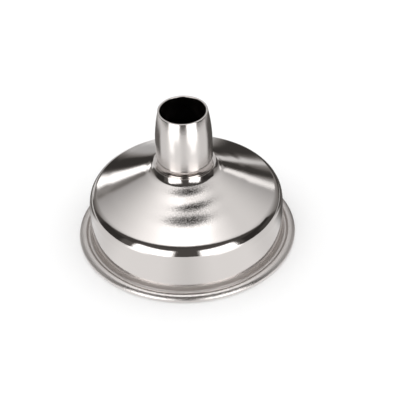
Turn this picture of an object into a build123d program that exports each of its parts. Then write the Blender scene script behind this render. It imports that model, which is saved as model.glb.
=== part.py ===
from build123d import *
import math
import os

# A small one-hand funnel pressed and spun from polished stainless sheet.  It stands mouth
# down on its rolled rim: a straight collar, a rounded shoulder, a shallow cone and a short
# tube spout whose reduced end is pushed into the neck of the cone and soldered from inside.
# Millimetres.  +Z is the funnel's axis, from the wide mouth towards the spout.  The origin
# is the centre of the ring on which the rim rests.

# Driving dimensions
rim_radius = 18.0             # outside of the rolled rim
height = 25.0                 # resting ring to spout mouth
sheet = 0.35                  # stainless sheet, the same for both pressings

# Bowl, outer side of the sheet
curl_radius = 0.64            # outside of the rolled edge
foot_flat_depth = 0.02        # how much the rolled edge is ground flat to sit level
curl_end_angle = -142         # where the rolled sheet stops, short of touching the bowl
foot_bend_radius = 0.5        # inside corner between the collar and the rim
collar_foot_radius = 16.07
collar_draft = 1.6            # degrees, the collar is a little narrower at its top
shoulder_radius = 2.42
shoulder_height = 7.14        # height of the shoulder's centre
cone_slope = 26.3             # degrees above level
neck_radius = 4.75            # outside of the short upright neck
neck_bend_radius = 1.4
neck_lip = 0.15               # straight lip above the neck bend

# Spout, outer side of the sheet
spout_radius = 4.62
spout_taper_start = 19.3      # above this height the tube draws in towards its mouth
mouth_radius = 4.02           # outside of the spout's mouth
mouth_edge_round = 0.12
insert_length = 1.55          # reduced end of the tube below the top of the neck
swage_start = 0.08            # above the top of the neck
swage_length = 0.95           # height in which the tube opens out to its full radius

# Solder inside the bowl, round the tube's reduced end
solder_gap = 0.5              # the solder stops this far below the neck bend's upper end
solder_height = 0.8           # along the tube
solder_reach = 55             # degrees round the inner side of the neck bend
solder_hollow_radius = 6.0    # slightly hollow face of the solder

# Worked out: the rolled rim and the corner at the collar's foot touch without a flat
curl_centre = (rim_radius - curl_radius, curl_radius - foot_flat_depth)
foot_centre_radius = collar_foot_radius + foot_bend_radius
bend_reach = foot_bend_radius + curl_radius
groove_angle = math.degrees(math.asin((curl_centre[0] - foot_centre_radius) / bend_reach))
foot_centre_height = curl_centre[1] + bend_reach * math.cos(math.radians(groove_angle))
foot_centre = (foot_centre_radius, foot_centre_height)

# Worked out: the shoulder's centre lies where the drafted collar meets it tangentially
draft = math.radians(collar_draft)
collar_lean = (shoulder_height - foot_centre_height) * math.tan(draft)
shoulder_side = shoulder_radius / math.cos(draft)
foot_side = foot_bend_radius / math.cos(draft) - foot_bend_radius
shoulder_centre = (collar_foot_radius - foot_side - collar_lean - shoulder_side, shoulder_height)

# Worked out: the neck bend's height makes the cone tangent to it and to the shoulder
slope = math.radians(cone_slope)
cone_foot_radius = shoulder_centre[0] + shoulder_radius * math.sin(slope)
cone_foot_height = shoulder_centre[1] + shoulder_radius * math.cos(slope)
cone_top_radius = neck_radius + neck_bend_radius * (1 - math.sin(slope))
cone_top_height = cone_foot_height + (cone_foot_radius - cone_top_radius) * math.tan(slope)
neck_bend_height = cone_top_height + neck_bend_radius * math.cos(slope)
neck_bend_centre = (neck_radius + neck_bend_radius, neck_bend_height)
neck_top = neck_bend_height + neck_lip

# Worked out: the tube's reduced end fits the inside of the neck
insert_radius = neck_radius - sheet
insert_bottom = neck_top - insert_length
swage_bottom = neck_top + swage_start
swage_top = swage_bottom + swage_length
swage_step = spout_radius - insert_radius
swage_angle = 2 * math.degrees(math.atan(swage_step / swage_length))
swage_radius = swage_length / (2 * math.sin(math.radians(swage_angle)))
taper_height = height - spout_taper_start
taper_step = spout_radius - mouth_radius
taper_radius = (taper_height**2 + taper_step**2) / (2 * taper_step)
taper_angle = math.degrees(math.asin(taper_height / taper_radius))

os.makedirs("parts", exist_ok=True)

# Bowl: one sheet from the neck's lip down the cone, round the shoulder, down the collar,
# out through the corner and round the rolled edge.  The outline is the sheet's outer side,
# and its offset is the inner side.
with BuildPart() as bowl:
    with BuildSketch(Plane.XZ):
        with BuildLine():
            neck_bend = CenterArc(neck_bend_centre, neck_bend_radius, 180, 90 - cone_slope)
            Line((neck_radius, neck_top), neck_bend @ 0)
            shoulder = CenterArc(
                shoulder_centre, shoulder_radius, 90 - cone_slope, cone_slope + collar_draft - 90
            )
            Line(neck_bend @ 1, shoulder @ 0)
            foot_bend = CenterArc(
                foot_centre, foot_bend_radius, 180 + collar_draft, 90 + groove_angle - collar_draft
            )
            Line(shoulder @ 1, foot_bend @ 0)
            CenterArc(curl_centre, curl_radius, 90 + groove_angle, curl_end_angle - 90 - groove_angle)
            offset(amount=sheet, side=Side.RIGHT)
        make_face()
    revolve(axis=Axis.Z)
    split(bisect_by=Plane.XY, keep=Keep.TOP)
bowl.part.label = "bowl"
export_step(bowl.part, "parts/bowl.step")

# Spout: a tube with a reduced end for the neck and a mouth that draws in
with BuildPart() as spout:
    with BuildSketch(Plane.XZ):
        with BuildLine():
            lower_swage = CenterArc(
                (insert_radius + swage_radius, swage_bottom), swage_radius, 180, -swage_angle
            )
            Line((insert_radius, insert_bottom), lower_swage @ 0)
            upper_swage = CenterArc(
                (spout_radius - swage_radius, swage_top), swage_radius, -swage_angle, swage_angle
            )
            taper = CenterArc(
                (spout_radius - taper_radius, spout_taper_start), taper_radius, 0, taper_angle
            )
            Line(upper_swage @ 1, taper @ 0)
            # a little past the mouth, so that the whole thickness is there to be cut level
            Line(taper @ 1, taper @ 1 + (taper % 1) * sheet)
            offset(amount=sheet, side=Side.LEFT)
        make_face()
    revolve(axis=Axis.Z)
    split(bisect_by=Plane.XY.offset(height), keep=Keep.BOTTOM)
    mouth_edges = spout.edges().filter_by(GeomType.CIRCLE).group_by(Axis.Z)[-1]
    fillet(mouth_edges, mouth_edge_round)
spout.part.label = "spout"
export_step(spout.part, "parts/spout.step")

# Solder ring: fills the narrow corner between the tube's reduced end and the inner side of
# the neck bend, with a hollow face towards the bowl
inner_bend_radius = neck_bend_radius + sheet
solder_top_angle = math.degrees(math.asin(solder_gap / inner_bend_radius))
with BuildPart() as solder_ring:
    with BuildSketch(Plane.XZ):
        with BuildLine():
            against_neck = CenterArc(
                neck_bend_centre,
                inner_bend_radius,
                180 + solder_top_angle,
                solder_reach - solder_top_angle,
            )
            top = Line(against_neck @ 0, (insert_radius, (against_neck @ 0).Y))
            against_tube = Line(top @ 1, top @ 1 - Vector(0, solder_height))
            RadiusArc(against_tube @ 1, against_neck @ 1, solder_hollow_radius)
        make_face()
    revolve(axis=Axis.Z)
solder_ring.part.label = "solder_ring"
export_step(solder_ring.part, "parts/solder_ring.step")
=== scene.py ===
import math

import bpy
import numpy as np
from bpy.props import FloatProperty, FloatVectorProperty, PointerProperty
from mathutils import Matrix, Vector


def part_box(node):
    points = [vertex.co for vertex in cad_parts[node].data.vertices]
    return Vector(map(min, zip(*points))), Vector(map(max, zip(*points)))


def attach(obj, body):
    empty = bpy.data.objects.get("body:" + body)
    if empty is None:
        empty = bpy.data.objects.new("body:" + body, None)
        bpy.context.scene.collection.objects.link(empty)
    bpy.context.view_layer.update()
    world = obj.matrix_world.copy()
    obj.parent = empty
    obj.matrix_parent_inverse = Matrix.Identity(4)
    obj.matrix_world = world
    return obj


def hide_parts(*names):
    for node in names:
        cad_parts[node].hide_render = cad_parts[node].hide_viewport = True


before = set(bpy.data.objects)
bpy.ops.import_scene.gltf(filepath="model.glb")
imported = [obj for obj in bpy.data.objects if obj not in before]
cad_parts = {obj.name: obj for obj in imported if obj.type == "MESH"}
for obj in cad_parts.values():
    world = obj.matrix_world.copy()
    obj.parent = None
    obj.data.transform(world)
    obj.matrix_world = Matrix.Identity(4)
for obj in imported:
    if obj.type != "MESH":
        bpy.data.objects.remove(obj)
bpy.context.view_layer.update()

bl_info = {
    "name": "Spun steel funnel",
    "version": (1, 0, 0),
    "blender": (4, 5, 0),
    "location": "3D View > Sidebar > Funnel",
    "description": "A small pouring funnel of spun stainless sheet, standing mouth down in a studio",
    "category": "Add Mesh",
}

MM = 0.001
FULL_TURN = 2 * math.pi
TURN_STEPS = 256              # columns of every turned surface
TURN = np.arange(TURN_STEPS) * FULL_TURN / TURN_STEPS


def linear(hex_colour):
    """The linear colour of an sRGB hex value, by the usual two-part curve."""
    parts = [int(hex_colour[i : i + 2], 16) / 255 for i in (0, 2, 4)]
    return [p / 12.92 if p <= 0.04045 else ((p + 0.055) / 1.055) ** 2.4 for p in parts]


# ---------------------------------------------------------------- outlines and surfaces

def arc(centre, radius, start, sweep, count, hollow=False):
    """Points and outward normals of an arc in the (radius, height) plane: centre plus radius
    times (cos, sin) of evenly spaced angles in degrees.  A hollow arc's metal lies outside it."""
    angles = np.radians(np.linspace(start, start + sweep, count))
    rays = np.stack([np.cos(angles), np.sin(angles)], 1)
    return np.asarray(centre) + radius * rays, -rays if hollow else rays


def line(start, end, count):
    """Points and outward normals of a straight run: even steps from start to end, and the
    run's direction turned a quarter to its left."""
    points = np.linspace(start, end, count)
    along = (points[-1] - points[0]) / np.linalg.norm(points[-1] - points[0])
    return points, np.tile([-along[1], along[0]], (count, 1))


def joined(*runs):
    """One outline from runs that meet end to end, without the doubled point at each joint."""
    points = [runs[0][0]] + [run[0][1:] for run in runs[1:]]
    normals = [runs[0][1]] + [run[1][1:] for run in runs[1:]]
    return np.concatenate(points), np.concatenate(normals)


def round_edge(start, end, count):
    """The half circle that closes a sheet's cut edge: from start to end it swings out by half
    of their distance, to the left of the way from start to end."""
    start, end = np.asarray(start), np.asarray(end)
    middle = (start + end) / 2
    half = (start - end) / 2
    outward = np.stack([half[..., 1], -half[..., 0]], -1)
    angles = np.linspace(0, math.pi, count + 2)[1:-1]
    return [middle + half * math.cos(a) + outward * math.sin(a) for a in angles]


def store_values(mesh, key, values):
    """Keeps one number for each vertex of the mesh, under the name key."""
    store = mesh.attributes.new(key, "FLOAT", "POINT")
    store.data.foreach_set("value", values.astype(np.float32).ravel())


def turned(name, section, finish):
    """A closed surface turned about Z.  section holds (radius, height) for every row of the
    closed outline and every column of the turn, so that the point of row i and column j is
    (r cos a_j, r sin a_j, z).  Its faces point outwards when the rows run down the outside and
    back up the inside.  finish holds named values that spread over the rows and columns.  The
    attribute grain is the distance along the outline in millimetres, with the direction of the
    turn as a point on a circle of 10 mm."""
    rows = len(section)
    radius, height = section[..., 0], section[..., 1]
    points = np.stack([radius * np.cos(TURN), radius * np.sin(TURN), height], -1)
    row = np.arange(rows)[:, None]
    column = np.arange(TURN_STEPS)[None, :]
    next_row = (row + 1) % rows
    next_column = (column + 1) % TURN_STEPS
    corners = [
        row * TURN_STEPS + column,
        next_row * TURN_STEPS + column,
        next_row * TURN_STEPS + next_column,
        row * TURN_STEPS + next_column,
    ]
    faces = np.stack(corners, -1).reshape(-1, 4)
    mesh = bpy.data.meshes.new(name)
    mesh.from_pydata((points.reshape(-1, 3) * MM).tolist(), [], faces.tolist())
    mesh.polygons.foreach_set("use_smooth", np.ones(len(faces), bool))
    mesh.set_sharp_from_angle(angle=math.radians(40))
    steps = np.linalg.norm(np.diff(section[:, 0], axis=0, prepend=section[:1, 0]), axis=-1)
    length = np.repeat(np.cumsum(steps)[:, None], TURN_STEPS, 1)
    ring = np.broadcast_to(TURN, (rows, TURN_STEPS))
    grain = np.stack([length, 10 * np.cos(ring), 10 * np.sin(ring)], -1)
    store = mesh.attributes.new("grain", "FLOAT_VECTOR", "POINT")
    store.data.foreach_set("vector", grain.astype(np.float32).ravel())
    for key, values in finish.items():
        store_values(mesh, key, np.broadcast_to(values, (rows, TURN_STEPS)))
    mesh.validate()
    mesh.update()
    piece = bpy.data.objects.new(name, mesh)
    bpy.context.scene.collection.objects.link(piece)
    return piece


def smooth_step(value, low, high):
    """Rises from 0 at low to 1 at high along 3t^2 - 2t^3."""
    t = np.clip((value - low) / (high - low), 0, 1)
    return t * t * (3 - 2 * t)


# Shallow steps that the spinning roller left in the sheet, in millimetres and degrees: the
# distance of the step along the outline from the neck's lip and its half width, the tilt that
# it adds, the direction and the spread of the part of the turn where it shows, the drift of
# its distance per degree, and how scratched it is.  A spread of 360 goes all the way round.
MARKS = (
    (1.35, 0.50, 10.0, 0, 360, 0.0, 0.0),
    (2.40, 0.75, 10.0, 5, 27, -0.004, 1.0),
    (5.15, 0.70, 10.0, 8, 21, -0.014, 1.0),
    (7.40, 0.95, 10.0, 2, 19, -0.008, 1.0),
    (9.90, 0.80, 0.8, -100, 60, 0.0, 0.0),
    (6.20, 0.70, 0.9, 110, 50, 0.0, 0.0),
    (14.45, 0.35, -6.0, 0, 360, 0.0, 0.0),
)


def spinning_marks(length):
    """Height above the plain outline, and scratching, for every row of the outline and column
    of the turn.  Each mark adds -A x exp(-x^2/2), where x is the distance from the mark over
    its half width and A makes the middle of the step steeper by its tilt, times a bell round
    its direction.  The scratching is exp(-x^2/1.4) times the same bell."""
    azimuth = np.degrees(TURN) + 90
    height = np.zeros((len(length), TURN_STEPS))
    scratched = np.zeros_like(height)
    for middle, width, tilt, direction, spread, drift, scratches in MARKS:
        off = (azimuth - direction + 180) % 360 - 180
        x = (length[:, None] - middle - drift * off) / width
        bell = np.exp(-((off / spread) ** 2)) if spread < 360 else 1.0
        height -= width * math.tan(math.radians(tilt)) * x * np.exp(-(x**2) / 2) * bell
        scratched += scratches * np.exp(-(x**2) / 1.4) * bell
    return height, scratched


# ------------------------------------------------------------------------------ sizes

class FunnelSizes(bpy.types.PropertyGroup):
    """Sizes of the pressed and spun sheet, in metres."""

    sheet: FloatProperty(
        name="Sheet", description="Thickness of the stainless sheet",
        default=0.35 * MM, unit="LENGTH", precision=5,
    )
    shoulder: FloatProperty(
        name="Shoulder radius", description="Rounding between collar and cone",
        default=2.42 * MM, unit="LENGTH", precision=5,
    )
    shoulder_height: FloatProperty(
        name="Shoulder height", description="Height of the centre of the shoulder's rounding",
        default=7.14 * MM, unit="LENGTH", precision=5,
    )
    cone_slope: FloatProperty(
        name="Cone slope", description="Slope of the cone above level",
        default=math.radians(26.3), subtype="ANGLE",
    )
    neck: FloatProperty(
        name="Neck radius", description="Outside radius of the upright neck",
        default=4.75 * MM, unit="LENGTH", precision=5,
    )
    neck_bend: FloatProperty(
        name="Neck bend", description="Radius of the turn-up round the spout",
        default=1.4 * MM, unit="LENGTH", precision=5,
    )
    mouth: FloatProperty(
        name="Mouth radius", description="Outside radius of the spout's mouth",
        default=4.02 * MM, unit="LENGTH", precision=5,
    )


class FunnelFinish(bpy.types.PropertyGroup):
    """Colours and finish of the metal."""

    steel: FloatVectorProperty(
        name="Steel", description="Reflected colour of the buffed stainless sheet",
        default=linear("D8D3D0"), subtype="COLOR", min=0, max=1,
    )
    polish: FloatProperty(
        name="Polish", description="Roughness of the buffed sheet",
        default=0.06, min=0, max=1, subtype="FACTOR",
    )
    residue: FloatVectorProperty(
        name="Residue", description="Colour of the polishing residue in the scuffed marks",
        default=linear("3A3836"), subtype="COLOR", min=0, max=1,
    )
    solder: FloatVectorProperty(
        name="Solder", description="Colour of the solder inside the neck",
        default=linear("B4B1AA"), subtype="COLOR", min=0, max=1,
    )


class FunnelStudio(bpy.types.PropertyGroup):
    """The camera's place, the floor and the lights."""

    distance: FloatProperty(
        name="Distance", description="From the camera to the middle of the funnel",
        default=0.27, unit="LENGTH",
    )
    elevation: FloatProperty(
        name="Elevation", description="Angle at which the camera looks down",
        default=math.radians(38.36), subtype="ANGLE",
    )
    roll: FloatProperty(
        name="Roll", description="Turn of the camera about its line of sight",
        default=math.radians(1.88), subtype="ANGLE",
    )
    floor: FloatVectorProperty(
        name="Floor", description="Colour of the floor",
        default=linear("F4F4F4"), subtype="COLOR", min=0, max=1,
    )


class FunnelSettings(bpy.types.PropertyGroup):
    """Everything that the panel shows."""

    sizes: PointerProperty(type=FunnelSizes)
    finish: PointerProperty(type=FunnelFinish)
    studio: PointerProperty(type=FunnelStudio)


# -------------------------------------------------------------------------- materials

def add_node(tree, kind, inputs=None, **settings):
    """Adds one node with its settings.  inputs maps a socket to a value or to an output."""
    node = tree.nodes.new(kind)
    for name, value in settings.items():
        setattr(node, name, value)
    for socket, value in (inputs or {}).items():
        if isinstance(value, bpy.types.NodeSocket):
            tree.links.new(value, node.inputs[socket])
        else:
            node.inputs[socket].default_value = value
    return node


def new_material(name):
    """An empty material with its output node."""
    material = bpy.data.materials.new(name)
    material.use_nodes = True
    tree = material.node_tree
    tree.nodes.clear()
    return material, tree, tree.nodes.new("ShaderNodeOutputMaterial")


# Sizes of the patterns.  RINGS is per millimetre of the attribute grain: a ring each 0.11 mm,
# near the feed of a spinning roller, that changes over about 16 degrees of the turn.  The others
# are per metre of Object coordinates.  The sheet's unevenness is 6 mm from swell to swell and the
# solder's ripples are 1.1 mm, both coarse enough to show at their own size.  The grit's scratches
# are a few hundredths of a millimetre wide, too fine to show, and are drawn 0.26 mm wide.
RINGS = (9, 0.35, 0.35)
UNEVENNESS = 160.0
RIPPLES = 900.0
GRIT = 3800.0


def buffed_stainless(finish):
    """Stainless sheet, spun and then buffed on a wheel: a mirror with faint rings from the
    spinning tool, a slow unevenness that bends its reflections, fine scratches and dark residue
    where the tool rubbed, and a satin foot and rim that the wheel didn't reach."""
    material, tree, out = new_material("buffed_stainless")
    grain = add_node(tree, "ShaderNodeAttribute", attribute_name="grain")
    satin = add_node(tree, "ShaderNodeAttribute", attribute_name="satin")
    scratched = add_node(tree, "ShaderNodeAttribute", attribute_name="scratched")
    place = add_node(tree, "ShaderNodeTexCoord")
    stretched = add_node(
        tree, "ShaderNodeMapping", {"Vector": grain.outputs["Vector"], "Scale": RINGS}
    )
    rings = add_node(
        tree, "ShaderNodeTexNoise",
        {"Vector": stretched.outputs["Vector"], "Scale": 1.0, "Detail": 3.0},
    )
    fine = add_node(
        tree, "ShaderNodeTexNoise",
        {"Vector": place.outputs["Object"], "Scale": GRIT, "Detail": 2.0, "Roughness": 0.7},
    )
    uneven = add_node(
        tree, "ShaderNodeTexNoise",
        {"Vector": place.outputs["Object"], "Scale": UNEVENNESS, "Detail": 1.0},
    )
    # the normal is bent in three steps: slowly, then by the rings, then by the grit
    slow = add_node(
        tree, "ShaderNodeBump",
        {"Height": uneven.outputs["Fac"], "Strength": 0.3, "Distance": 0.0001},
    )
    ringed = add_node(
        tree, "ShaderNodeBump",
        {"Height": rings.outputs["Fac"], "Strength": 0.15, "Distance": 0.00001,
         "Normal": slow.outputs["Normal"]},
    )
    # the grit is strongest where the sheet is scratched and weaker where it is satin
    grit = add_node(
        tree, "ShaderNodeMath",
        {0: scratched.outputs["Fac"], 1: 0.9, 2: 0.05}, operation="MULTIPLY_ADD",
    )
    rubbed = add_node(
        tree, "ShaderNodeMath",
        {0: satin.outputs["Fac"], 1: 0.25, 2: grit.outputs["Value"]}, operation="MULTIPLY_ADD",
    )
    gritty = add_node(
        tree, "ShaderNodeBump",
        {"Height": fine.outputs["Fac"], "Strength": rubbed.outputs["Value"],
         "Distance": 0.00008, "Normal": ringed.outputs["Normal"]},
    )
    # a scratched or satin surface scatters what it mirrors
    dull = add_node(
        tree, "ShaderNodeMath",
        {0: scratched.outputs["Fac"], 1: 1.9, 2: satin.outputs["Fac"]}, operation="MULTIPLY_ADD",
    )
    rough = add_node(
        tree, "ShaderNodeMapRange",
        {"Value": dull.outputs["Value"], "To Min": finish.polish, "To Max": 0.27}, clamp=False,
    )
    # residue lies between the scratches, so it is speckled like the grit
    speck = add_node(
        tree, "ShaderNodeMapRange",
        {"Value": fine.outputs["Fac"], "From Min": 0.38, "From Max": 0.58, "To Min": 0.5},
    )
    soiled = add_node(
        tree, "ShaderNodeMath", {0: speck.outputs["Result"], 1: scratched.outputs["Fac"]},
        operation="MULTIPLY", use_clamp=True,
    )
    tone = add_node(
        tree, "ShaderNodeMixRGB",
        {"Fac": soiled.outputs["Value"], "Color1": (*finish.steel, 1),
         "Color2": (*finish.residue, 1)},
    )
    shader = add_node(
        tree, "ShaderNodeBsdfPrincipled",
        {"Base Color": tone.outputs["Color"], "Metallic": 1.0,
         "Roughness": rough.outputs["Result"], "Normal": gritty.outputs["Normal"]},
    )
    tree.links.new(shader.outputs["BSDF"], out.inputs["Surface"])
    return material


def soft_solder(finish):
    """Tin solder, melted in and left as it set: bright but not buffed, with small ripples."""
    material, tree, out = new_material("soft_solder")
    place = add_node(tree, "ShaderNodeTexCoord")
    ripples = add_node(
        tree, "ShaderNodeTexNoise",
        {"Vector": place.outputs["Object"], "Scale": RIPPLES, "Detail": 3.0},
    )
    bump = add_node(
        tree, "ShaderNodeBump",
        {"Height": ripples.outputs["Fac"], "Strength": 0.5, "Distance": 0.0001},
    )
    shader = add_node(
        tree, "ShaderNodeBsdfPrincipled",
        {"Base Color": (*finish.solder, 1), "Metallic": 1.0, "Roughness": 0.34,
         "Normal": bump.outputs["Normal"]},
    )
    tree.links.new(shader.outputs["BSDF"], out.inputs["Surface"])
    return material


def lit_cloth_and_painted_floor():
    """The tent's cloth and the floor that only reflections see: glows as brightly as its attribute
    says, white where it is bright and a little warm where it is dim.  On the floor its glow is
    painted light and painted shade."""
    material, tree, out = new_material("lit_cloth_and_painted_floor")
    glow = add_node(tree, "ShaderNodeAttribute", attribute_name="glow")
    warmth = add_node(tree, "ShaderNodeValToRGB", {"Fac": glow.outputs["Fac"]})
    ends = warmth.color_ramp.elements
    ends[0].color = (*linear("FFF7F0"), 1)
    ends[1].color = (1, 1, 1, 1)
    ends[1].position = 0.5
    light = add_node(
        tree, "ShaderNodeEmission",
        {"Color": warmth.outputs["Color"], "Strength": glow.outputs["Fac"]},
    )
    tree.links.new(light.outputs["Emission"], out.inputs["Surface"])
    return material


def matt_paper(colour):
    """White paper sheet, matt: the pale floor."""
    material, tree, out = new_material("matt_paper")
    shader = add_node(
        tree, "ShaderNodeBsdfPrincipled",
        {"Base Color": (*colour, 1), "Roughness": 0.9, "Specular IOR Level": 0.1},
    )
    tree.links.new(shader.outputs["BSDF"], out.inputs["Surface"])
    return material


# ----------------------------------------------------------------------------- pieces

# How the bowl's sheet is bent, in millimetres and degrees.
NECK_RISE = 0.15              # the neck's lip above the centre of its bend
COLLAR_LEAN = 1.6             # how far the collar's side leans in
COLLAR_FOOT = 16.07           # least radius of the corner at the collar's foot
CORNER_BEND = 0.35            # radius of that corner
CORNER_HEIGHT = 1.16          # height of its centre
CROWN_INSET = 1.0             # from the rim's edge in to the top of the roll
CROWN_HEIGHT = 1.24
CROWN_BEND = 0.45             # the roll's side towards the collar
ROLL_BENDS = (                # from the crown outwards: radius, sweep and number of rows
    (1.0, 37, 14),
    (1.56, 15, 10),
    (0.463, 180, 40),
)
EDGE_ROWS = 5                 # rows that round a cut edge of the sheet
INSIDE_EVERY = 3              # the inside keeps each third row


def crease_point(corner, corner_bend, crown, crown_bend):
    """The lower of the two points where two circles cut.  It lies along the line of centres by
    (R1^2 - R2^2 + d^2) / 2d from the first centre, and across it by the rest of R1."""
    apart = (crown[0] - corner[0], crown[1] - corner[1])
    gap = math.hypot(*apart)
    along = (corner_bend**2 - crown_bend**2 + gap**2) / (2 * gap)
    across = math.sqrt(corner_bend**2 - along**2)
    return (
        corner[0] + (along * apart[0] + across * apart[1]) / gap,
        corner[1] + (along * apart[1] - across * apart[0]) / gap,
    )


def direction_to(centre, point):
    """The direction from centre to point in the (radius, height) plane, in degrees from 0."""
    return math.degrees(math.atan2(point[1] - centre[1], point[0] - centre[0])) % 360


def rolled_rim(rim, corner):
    """The outer side of the roll, from its crease with the corner at the collar's foot: up over
    the crown, then out and under in bends that each start where the one before ends, with
    their centre on the last point's normal.  Also the direction of the crease from the corner."""
    crown = (rim - CROWN_INSET, CROWN_HEIGHT - CROWN_BEND)
    crease = crease_point(corner, CORNER_BEND, crown, CROWN_BEND)
    roll_start = direction_to(crown, crease)
    runs = [arc(crown, CROWN_BEND, roll_start, 90 - roll_start, 20)]
    start = 90
    for radius, sweep, count in ROLL_BENDS:
        last_point = runs[-1][0][-1]
        facing = math.radians(start)
        centre = (
            last_point[0] - radius * math.cos(facing),
            last_point[1] - radius * math.sin(facing),
        )
        runs.append(arc(centre, radius, start, -sweep, count))
        start -= sweep
    return runs, direction_to(corner, crease)


def bowl_outline(sizes, rim, neck_top):
    """The bowl's outer side, from the neck's lip down to the sheet's edge under the roll, as
    arcs and straight runs.  The shoulder's centre is set so that its arc touches the leaning
    collar, which touches the corner at its foot."""
    neck = sizes.neck / MM
    neck_bend = sizes.neck_bend / MM
    shoulder = sizes.shoulder / MM
    slope = math.degrees(sizes.cone_slope)
    lean = math.radians(COLLAR_LEAN)
    corner = (COLLAR_FOOT + CORNER_BEND, CORNER_HEIGHT)
    shoulder_z = sizes.shoulder_height / MM
    shoulder_x = (
        COLLAR_FOOT - CORNER_BEND / math.cos(lean) + CORNER_BEND
        - (shoulder_z - CORNER_HEIGHT) * math.tan(lean) - shoulder / math.cos(lean)
    )
    roll, crease_direction = rolled_rim(rim, corner)
    corner_sweep = crease_direction - 180 - COLLAR_LEAN
    shoulder_sweep = slope + COLLAR_LEAN - 90
    bend_centre = (neck + neck_bend, neck_top - NECK_RISE)
    bend = arc(bend_centre, neck_bend, 180, 90 - slope, 26, hollow=True)
    turn = arc((shoulder_x, shoulder_z), shoulder, 90 - slope, shoulder_sweep, 40)
    foot = arc(corner, CORNER_BEND, 180 + COLLAR_LEAN, corner_sweep, 16, hollow=True)
    return joined(
        line((neck, neck_top - sizes.sheet / MM / 2), bend[0][0], 3),
        bend,
        line(bend[0][-1], turn[0][0], 66),
        turn,
        line(turn[0][-1], foot[0][0], 30),
        foot,
        *roll,
    )


def unbuffed(section):
    """How satin each point of the bowl is.  The wheel reached neither the roll, where satin
    rises from 0 to 1 between two radii, nor the groove at the collar's foot, where it is 1.8
    and fades upwards and outwards.  On the roll's two sides it rises to 1.9, by the size of the
    sine of the azimuth."""
    radius, height = section[:, :1, 0], section[:, :1, 1]
    groove = (1 - smooth_step(height, 1.1, 2.9)) * (1 - smooth_step(radius, 16.6, 17.1))
    aside = np.abs(np.sin(TURN + FULL_TURN / 4))
    worn = 1 + 0.9 * smooth_step(aside, 0.55, 0.85)
    return np.maximum(smooth_step(radius, 16.5, 17.2) * worn, 1.8 * groove)


class FUNNEL_OT_bowl(bpy.types.Operator):
    """Make the bowl: neck bend, cone, shoulder, collar and rolled rim in one sheet"""

    bl_idname = "funnel.bowl"
    bl_label = "Bowl"

    def execute(self, context):
        settings = context.scene.funnel
        sheet = settings.sizes.sheet / MM
        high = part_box("bowl")[1]
        outline, outward = bowl_outline(settings.sizes, high.x / MM, high.z / MM)
        steps = np.linalg.norm(np.diff(outline, axis=0), axis=1)
        marks, scratched = spinning_marks(np.concatenate([[0], np.cumsum(steps)]))
        outer = outline[:, None] + marks[..., None] * outward[:, None]
        last_row = len(outline) - 1
        kept_rows = np.append(np.arange(0, last_row, INSIDE_EVERY), last_row)
        inner = (outer - sheet * outward[:, None])[kept_rows][::-1]
        lower_edge = round_edge(outer[-1], inner[0], EDGE_ROWS)
        lip = round_edge(inner[-1], outer[0], EDGE_ROWS)
        section = np.concatenate([outer, lower_edge, inner, lip])
        # nothing reaches below the surface that the funnel stands on
        section[..., 1] = np.maximum(section[..., 1], 0)
        scratches = np.zeros(section.shape[:2])
        scratches[: len(outline)] = scratched
        finish = {"satin": unbuffed(section), "scratched": scratches}
        piece = turned("bowl_sheet", section, finish)
        piece.data.materials.append(buffed_stainless(settings.finish))
        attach(piece, "root")
        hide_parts("bowl")
        return {"FINISHED"}


# How the spout's tube is drawn, in millimetres.
SWAGE_GAP = 0.08              # from the neck's lip up to the swage
SWAGE_HEIGHT = 0.95
TAPER_START = 19.3            # height at which the tube begins to draw in
MOUTH_EDGE = 0.12             # rounding of the mouth's two edges
SPOUT_SATIN = 0.4             # the tube is buffed less than the bowl


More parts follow.
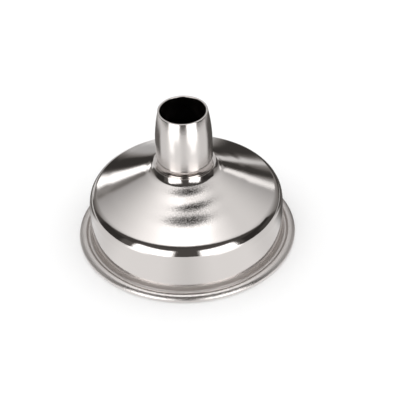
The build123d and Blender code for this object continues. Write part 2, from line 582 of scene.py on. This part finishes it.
def spout_section(sizes, low, high, neck_top):
    """The tube's closed outline, one row after another.  The swage is two arcs that touch, with
    the angle 2 atan(step / height).  The taper is one arc that starts upright and steps in by s
    over the height h, so its radius is (h^2 + s^2) / 2s.  Small arcs that touch the taper's
    outer and inner side round the mouth."""
    sheet = sizes.sheet / MM
    tube = high.x / MM
    insert = sizes.neck / MM - sheet
    swage_bottom = neck_top + SWAGE_GAP
    swage_top = swage_bottom + SWAGE_HEIGHT
    swage_angle = 2 * math.atan((tube - insert) / SWAGE_HEIGHT)
    swage = SWAGE_HEIGHT / (2 * math.sin(swage_angle))
    swage_sweep = math.degrees(swage_angle)
    height = high.z / MM - TAPER_START
    step = tube - sizes.mouth / MM
    taper = (height**2 + step**2) / (2 * step)
    taper_centre = (tube - taper, TAPER_START)
    edge_z = high.z / MM - MOUTH_EDGE
    outer_reach = taper - MOUTH_EDGE
    outer_angle = math.asin((height - MOUTH_EDGE) / outer_reach)
    outer_centre = (tube - taper + outer_reach * math.cos(outer_angle), edge_z)
    outer_sweep = math.degrees(outer_angle)
    inner_reach = taper - sheet + MOUTH_EDGE
    inner_angle = math.asin((height - MOUTH_EDGE) / inner_reach)
    inner_centre = (tube - taper + inner_reach * math.cos(inner_angle), edge_z)
    inner_sweep = math.degrees(inner_angle)
    draw_in = arc(taper_centre, taper, outer_sweep, -outer_sweep, 40)
    upper = arc((tube - swage, swage_top), swage, 0, -swage_sweep, 14)
    lower_centre = (insert + swage, swage_bottom)
    lower = arc(lower_centre, swage, 180 - swage_sweep, swage_sweep, 14, hollow=True)
    outline, outward = joined(
        draw_in,
        line(draw_in[0][-1], upper[0][0], 24),
        upper,
        lower,
        line(lower[0][-1], (insert, low.z / MM + sheet / 2), 10),
    )
    mouth_inner = arc(inner_centre, MOUTH_EDGE, 180, -90, 9)[0]
    mouth_outer = arc(outer_centre, MOUTH_EDGE, 90, outer_sweep - 90, 9)[0]
    inner_draw_in = arc(taper_centre, taper - sheet, inner_sweep, -inner_sweep, 40)[0]
    below_taper = (outline - sheet * outward)[len(draw_in[0]) :]
    inner = np.concatenate([inner_draw_in, below_taper])[::-1]
    foot = np.array(round_edge(outline[-1], inner[0], EDGE_ROWS))
    return np.concatenate([mouth_inner[1:], mouth_outer[:-1], outline, foot, inner])


class FUNNEL_OT_spout(bpy.types.Operator):
    """Make the spout: a tube with a reduced end for the neck and a mouth that draws in"""

    bl_idname = "funnel.spout"
    bl_label = "Spout"

    def execute(self, context):
        settings = context.scene.funnel
        low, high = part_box("spout")
        rows = spout_section(settings.sizes, low, high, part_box("bowl")[1].z / MM)
        section = np.repeat(rows[:, None], TURN_STEPS, 1)
        piece = turned("spout_tube", section, {"satin": np.array(SPOUT_SATIN)})
        piece.data.materials.append(buffed_stainless(settings.finish))
        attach(piece, "root")
        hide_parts("spout")
        return {"FINISHED"}


# Where the solder lies, in millimetres and degrees.
SOLDER_TOP = 0.5              # its top below the centre of the neck's bend
SOLDER_END = 55               # how far round the neck's bend it runs
SOLDER_HEIGHT = 0.8           # its height on the tube
SOLDER_ROWS = 14              # rows against the bend, and rows of the free face


def solder_section(sizes, neck_top):
    """The fillet's closed outline for every column of the turn: against the neck's bend, over a
    free face, and up the tube.  The face is a chord hollowed by 4 d t (1 - t), where t runs
    along it and the depth d is 0.05 mm with three sines round the ring."""
    sheet = sizes.sheet / MM
    bend = sizes.neck_bend / MM
    neck = sizes.neck / MM
    reach = bend + sheet
    centre = (neck + bend, neck_top - NECK_RISE)
    start = math.degrees(math.asin(SOLDER_TOP / reach))
    against_neck = arc(
        centre, reach, 180 + start, SOLDER_END - start, SOLDER_ROWS, hollow=True
    )[0]
    tube_top = np.array((neck - sheet, against_neck[0][1]))
    tube_foot = tube_top - (0, SOLDER_HEIGHT)
    along = np.linspace(0, 1, SOLDER_ROWS)[:, None]
    chord = tube_foot - against_neck[-1]
    inward = np.array((chord[1], -chord[0])) / np.linalg.norm(chord)
    hollow = 0.05 + 0.02 * np.sin(7 * TURN) + 0.015 * np.sin(11 * TURN + 1)
    hollow = hollow + 0.01 * np.sin(23 * TURN)
    depth = hollow * 4 * along * (1 - along)
    face = against_neck[-1] + along * chord
    face = face[:, None] - depth[..., None] * inward
    tube_side = np.linspace(tube_foot, tube_top, 5)[1:]
    return np.concatenate([
        np.repeat(against_neck[:, None], TURN_STEPS, 1),
        face[1:],
        np.repeat(tube_side[:, None], TURN_STEPS, 1),
    ])


class FUNNEL_OT_solder_ring(bpy.types.Operator):
    """Make the solder that fills the corner between the tube's end and the neck bend"""

    bl_idname = "funnel.solder_ring"
    bl_label = "Solder ring"

    def execute(self, context):
        settings = context.scene.funnel
        section = solder_section(settings.sizes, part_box("bowl")[1].z / MM)
        piece = turned("solder_fillet", section, {"satin": np.array(1.0)})
        piece.data.materials.append(soft_solder(settings.finish))
        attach(piece, "root")
        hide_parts("solder_ring")
        return {"FINISHED"}


# ------------------------------------------------------------------------------ stage

# What the polished steel sees.  A panel is lit or dark cloth on the inside of a tent round the
# funnel: the azimuth of its middle and its half width (0 is the camera's side, 90 is +X), its
# lowest and highest elevation, the softness of its sides and of its ends, in degrees, and its
# radiance.  Below level it lies on the floor, and there it is painted light or painted shade: a
# pool of light or a shadow that the steel sees on the floor in place of the lit paper.  A later
# panel covers an earlier one.
PANELS = (
    # name, azimuth, half width, low, high, side softness, end softness, radiance
    ("dark_left", -83, 24, -7, 30, 3, 3, 0.04),
    ("grey_left", -69, 7, -7, 30, 3, 3, 0.12),
    ("dark_right", 80, 27, -7, 30, 3, 3, 0.035),
    ("grey_right", 97, 12, -7, 16, 6, 3, 0.07),
    # painted pools of light on the floor in front of the two softboxes, brightest just below them
    ("lit_floor_left", -38, 26, -80, -8, 12, 10, 1.0),
    ("lit_floor_right", 33, 24, -80, -8, 12, 10, 1.0),
    ("pool_of_light_left", -46, 9, -28, -7, 6, 4, 1.6),
    ("pool_of_light_right", 34, 11, -28, -7, 6, 4, 1.6),
    ("gap", 0, 62, -7, 60, 3, 3, 0.09),
    ("softbox_left", -38, 21.5, -10, 36, 4, 7, 2.8),
    ("softbox_right", 33, 19.5, -12, 36, 4, 7, 2.8),
    ("rear_left_grey", -143.5, 3, 23, 30, 1.5, 2, 0.22),
    ("rear_left_light", -142, 6, -8, 4, 3, 3, 0.8),
    ("rear_left_lamp", -150.7, 3.8, 10, 26, 1.2, 3, 1.8),
    ("rear_left_dark", -160.5, 4.5, -2, 15, 1.5, 2, 0.045),
    ("rear_middle", -172, 8, -12, -2, 2, 3, 0.5),
    ("rear_right_lamp", 144, 2.5, 20, 30, 1.2, 2, 1.25),
    ("rear_right_dark", 152.2, 4.4, 11, 24, 1.2, 2, 0.055),
    ("rear_right_light", 159.3, 3, 4, 14, 1.2, 2, 0.8),
    ("rear_right_shade", 152, 20, -14, 2, 6, 4, 0.05),
    # painted shadows of the funnel on the floor at its rear sides, near it and further out, and a
    # painted pool of light on the floor behind it on the left
    ("shadow_left", -131, 30, -40, -14, 7, 4, 0.15),
    ("lit_rear_floor", -166, 12, -27, -13, 4, 4, 1.2),
    ("shadow_right", 131, 30, -41, -10, 7, 4, 0.1),
    ("near_shadow_right", 122, 30, -80, -41, 9, 4, 0.12),
    ("near_shadow_left", -126, 22, -80, -41, 10, 4, 0.3),
)
UNDER = -80.3                 # below this elevation the tent is black: painted shade on the floor under the funnel
SHOULDER = (0.016, 0.008)     # radius and height from which the tent's elevations are taken


def panel_cover(azimuth, elevation, centre, half, low, high, side_soft, end_soft):
    """1 inside a panel and 0 outside, with a smooth step of each softness at its edges.  The
    azimuth is measured from the panel's middle, wrapped to half a turn either way."""
    off = np.abs((azimuth - centre + 180) % 360 - 180)
    across = 1 - smooth_step(off, half - side_soft, half + side_soft)
    above = smooth_step(elevation, low - end_soft, low + end_soft)
    below = 1 - smooth_step(elevation, high - end_soft, high + end_soft)
    return across * above * below


def tent_radiance(azimuth, elevation):
    """The tent's glow.  On the floor it is dim at the horizon and grows to its full value a few
    degrees below.  Above, a ceiling panel grows brighter with height, by a power on the left
    and in two steps on the right, with a sine of the azimuth between the two, and it is
    brighter still overhead.  Its front edge
    falls with the cube of the azimuth from high over the camera towards the sides, and the
    rest in front is dark.  Then come the panels."""
    rightness = 0.5 + 0.5 * np.sin(np.radians(azimuth))
    left = 0.12 + 1.36 * np.clip(elevation / 72, 0, 1) ** 1.55
    right = 0.26 + 0.65 * smooth_step(elevation, 5, 55) + 0.5 * smooth_step(elevation, 58, 80)
    overhead = 0.6 * smooth_step(elevation, 70, 86)
    ceiling = left + (right - left) * rightness + overhead
    floor = 0.1 + 0.73 * smooth_step(-elevation, 4, 9)
    glow = np.where(elevation < 0, floor, ceiling)
    front_edge = 77 * (1 - (np.abs(azimuth + 5) / 120) ** 3)
    dark = (1 - smooth_step(elevation, front_edge - 9, front_edge + 7)) * (elevation >= 0)
    dark_cloth = 0.07
    glow = glow + (dark_cloth - glow) * dark
    for _, centre, half, low, high, side_soft, end_soft, radiance in PANELS:
        cover = panel_cover(azimuth, elevation, centre, half, low, high, side_soft, end_soft)
        glow = glow + (radiance - glow) * cover
    # painted shade: the tent's floor under the funnel is black
    return glow * (elevation > UNDER)


def add_tent():
    """The tent: a dome over a disc.  The point at azimuth a and elevation e above level is the
    radius times (sin a cos e, -cos a cos e, sin e).  Below level it is the floor point that is
    seen from the shoulder at that elevation, R + H / tan|e| from the axis.  The disc is a painted
    floor with painted pools of light and painted shadows, which only reflections see."""
    size = 0.6
    least_drop = 0.014
    azimuth = np.arange(-180, 180, 1.0)
    elevation = np.concatenate([[-90, -89], np.linspace(-88, -1, 100), np.linspace(0, 90, 100)])
    a, e = np.meshgrid(np.radians(azimuth), np.radians(elevation))
    reach = SHOULDER[0] + SHOULDER[1] / np.tan(np.abs(np.minimum(e, -least_drop)))
    reach = np.where(e < math.radians(-89.5), 0, reach)
    radius = np.where(e < 0, np.minimum(reach, size), size * np.cos(e))
    height = np.where(e < 0, 0, size * np.sin(e))
    points = np.stack([radius * np.sin(a), -radius * np.cos(a), height], -1)
    rows, columns = points.shape[:2]
    index = np.arange(rows * columns).reshape(rows, columns)
    index = np.concatenate([index, index[:, :1]], 1)
    faces = np.stack([index[:-1, :-1], index[1:, :-1], index[1:, 1:], index[:-1, 1:]], -1)
    mesh = bpy.data.meshes.new("tent")
    mesh.from_pydata(points.reshape(-1, 3).tolist(), [], faces.reshape(-1, 4).tolist())
    store_values(mesh, "glow", tent_radiance(np.degrees(a), np.degrees(e)))
    tent = bpy.data.objects.new("tent", mesh)
    tent.data.materials.append(lit_cloth_and_painted_floor())
    tent.visible_camera = False
    tent.visible_diffuse = False
    tent.visible_shadow = False
    tent.visible_transmission = False
    bpy.context.scene.collection.objects.link(tent)


def add_floor(studio):
    """A square of matt paper under the funnel."""
    half = 3.0
    mesh = bpy.data.meshes.new("floor")
    corners = [(-half, -half, 0), (half, -half, 0), (half, half, 0), (-half, half, 0)]
    mesh.from_pydata(corners, [], [(0, 1, 2, 3)])
    floor = bpy.data.objects.new("floor", mesh)
    bpy.context.scene.collection.objects.link(floor)
    floor.data.materials.append(matt_paper(studio.floor))
    floor.visible_glossy = False


# The camera's focal length in millimetres, the point that it stands in front of and the point
# that it is turned to, in metres.
LENS = 147.93
MIDDLE = (0, 0, 0.009)
AIM = (0.002284, 0, 0.006628)


def add_camera(studio):
    """The camera looks at a point a little right of the funnel's axis, and is rolled."""
    lens = bpy.data.cameras.new("camera")
    lens.sensor_width = 36
    lens.lens = LENS
    lens.clip_start = 0.01
    lens.clip_end = 20
    camera = bpy.data.objects.new("camera", lens)
    back = Vector((0, -math.cos(studio.elevation), math.sin(studio.elevation)))
    place = Vector(MIDDLE) + studio.distance * back
    turn = (Vector(AIM) - place).to_track_quat("-Z", "Y").to_matrix()
    turn = turn @ Matrix.Rotation(-studio.roll, 3, "Z")
    camera.matrix_world = Matrix.Translation(place) @ turn.to_4x4()
    bpy.context.scene.collection.objects.link(camera)
    bpy.context.scene.camera = camera


def add_world():
    """A white room, which lights the floor."""
    world = bpy.data.worlds.new("white_room")
    world.use_nodes = True
    background = world.node_tree.nodes["Background"].inputs
    background["Color"].default_value = (1, 1, 1, 1)
    background["Strength"].default_value = 1.2
    bpy.context.scene.world = world


class FUNNEL_OT_stage(bpy.types.Operator):
    """Make the room, the floor, the tent of lights and the camera"""

    bl_idname = "funnel.stage"
    bl_label = "Stage"

    def execute(self, context):
        studio = context.scene.funnel.studio
        context.scene.view_settings.view_transform = "Standard"
        add_world()
        add_floor(studio)
        add_tent()
        add_camera(studio)
        return {"FINISHED"}


class FUNNEL_PT_sidebar(bpy.types.Panel):
    """Lists the funnel's pieces and settings"""

    bl_idname = "FUNNEL_PT_sidebar"
    bl_label = "Funnel"
    bl_space_type = "VIEW_3D"
    bl_region_type = "UI"
    bl_category = "Funnel"

    def draw(self, context):
        settings = context.scene.funnel
        for group in (settings.sizes, settings.finish, settings.studio):
            box = self.layout.box()
            for key in group.__annotations__:
                box.prop(group, key)
        for operator in OPERATORS:
            self.layout.operator(operator.bl_idname)


GROUPS = (FunnelSizes, FunnelFinish, FunnelStudio, FunnelSettings)
OPERATORS = (FUNNEL_OT_bowl, FUNNEL_OT_spout, FUNNEL_OT_solder_ring, FUNNEL_OT_stage)


def register():
    for cls in GROUPS + OPERATORS + (FUNNEL_PT_sidebar,):
        bpy.utils.register_class(cls)
    bpy.types.Scene.funnel = PointerProperty(type=FunnelSettings)


def unregister():
    del bpy.types.Scene.funnel
    for cls in reversed(GROUPS + OPERATORS + (FUNNEL_PT_sidebar,)):
        bpy.utils.unregister_class(cls)


def main():
    register()
    bpy.ops.funnel.bowl()
    bpy.ops.funnel.spout()
    bpy.ops.funnel.solder_ring()
    bpy.ops.funnel.stage()


if __name__ == "__main__":
    main()
